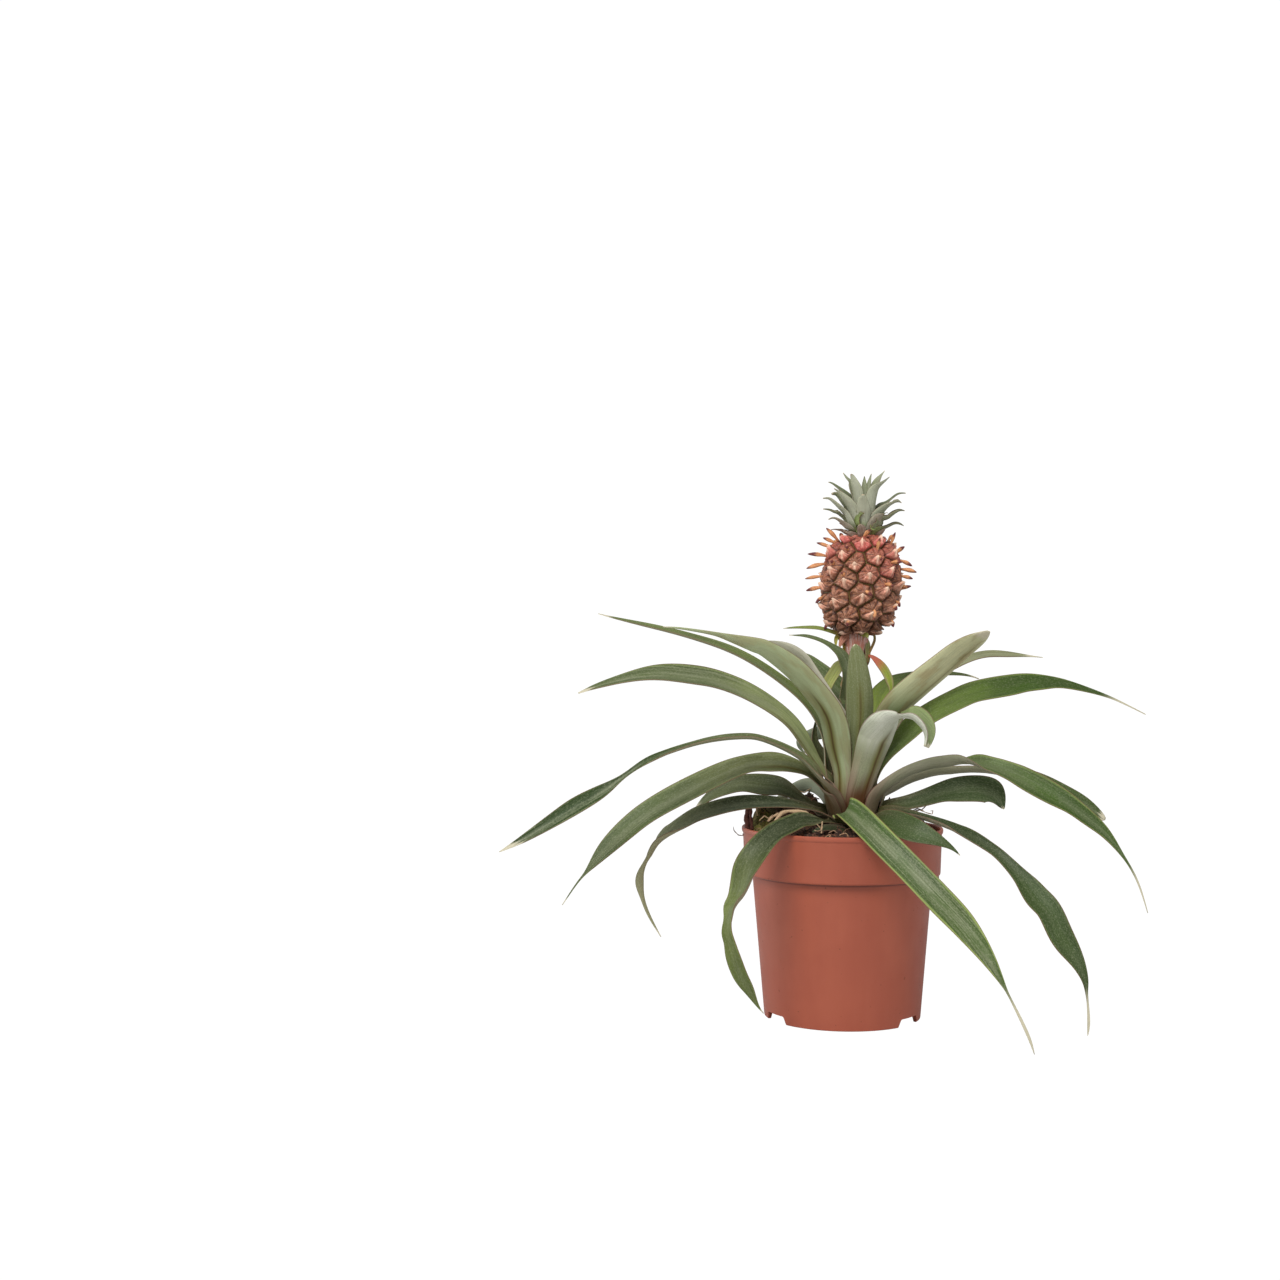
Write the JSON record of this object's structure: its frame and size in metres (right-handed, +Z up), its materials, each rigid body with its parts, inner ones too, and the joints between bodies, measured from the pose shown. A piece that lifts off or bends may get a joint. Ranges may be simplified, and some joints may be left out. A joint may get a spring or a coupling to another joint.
{
  "type": "potted pineapple plant",
  "caption": "Young pineapple plant with arching strap leaves and a small crowned fruit on a short stalk, in a filled round nursery pot.",
  "frame": {"origin": "middle of the whole plant's box at the level of the pot's foot, which is also the pot's own axis", "axes": "+Z up, the side seen in the picture faces -Y, +X to the right as seen there"},
  "size_m": [0.4006, 0.2369, 0.3282],
  "materials": {
    "pot_plastic": "satin terracotta-brown",
    "peat": "rough dark bark and peat",
    "stalk_skin": "matt brown-pink skin with pale scurf",
    "strap_leaf": "semi-matt green, greyer below",
    "stalk_bract": "semi-matt yellow-green",
    "fruit_skin": "matt brown and pink eyes",
    "crown_leaf": "semi-matt grey-green"
  },
  "bodies": {
    "root": {"bract_back": "stalk_bract", "bract_front": "stalk_bract", "bract_left_high": "stalk_bract", "bract_left_hook": "stalk_bract", "bract_left_low": "stalk_bract", "bract_left_small": "stalk_bract", "bract_right_hook": "stalk_bract", "bract_right_thin": "stalk_bract", "crown": "crown_leaf", "fruit": "fruit_skin", "leaf_back_arched": "strap_leaf", "leaf_back_low_left": "strap_leaf", "leaf_back_low_right": "strap_leaf", "leaf_back_right": "strap_leaf", "leaf_front_hooked": "strap_leaf", "leaf_front_left": "strap_leaf", "leaf_front_long": "strap_leaf", "leaf_front_small": "strap_leaf", "leaf_front_upright": "strap_leaf", "leaf_left_arched": "strap_leaf", "leaf_left_back": "strap_leaf", "leaf_left_broad": "strap_leaf", "leaf_left_curled": "strap_leaf", "leaf_left_long": "strap_leaf", "leaf_left_pale": "strap_leaf", "leaf_left_thin": "strap_leaf", "leaf_left_twisted": "strap_leaf", "leaf_left_under": "strap_leaf", "leaf_left_wide": "strap_leaf", "leaf_right_behind": "strap_leaf", "leaf_right_bent": "strap_leaf", "leaf_right_blunt": "strap_leaf", "leaf_right_far": "strap_leaf", "leaf_right_green": "strap_leaf", "leaf_right_long": "strap_leaf", "leaf_right_short": "strap_leaf", "leaf_right_wavy": "strap_leaf", "pot": "pot_plastic", "soil": "peat", "stem": "stalk_skin"}
  },
  "joints": []
}
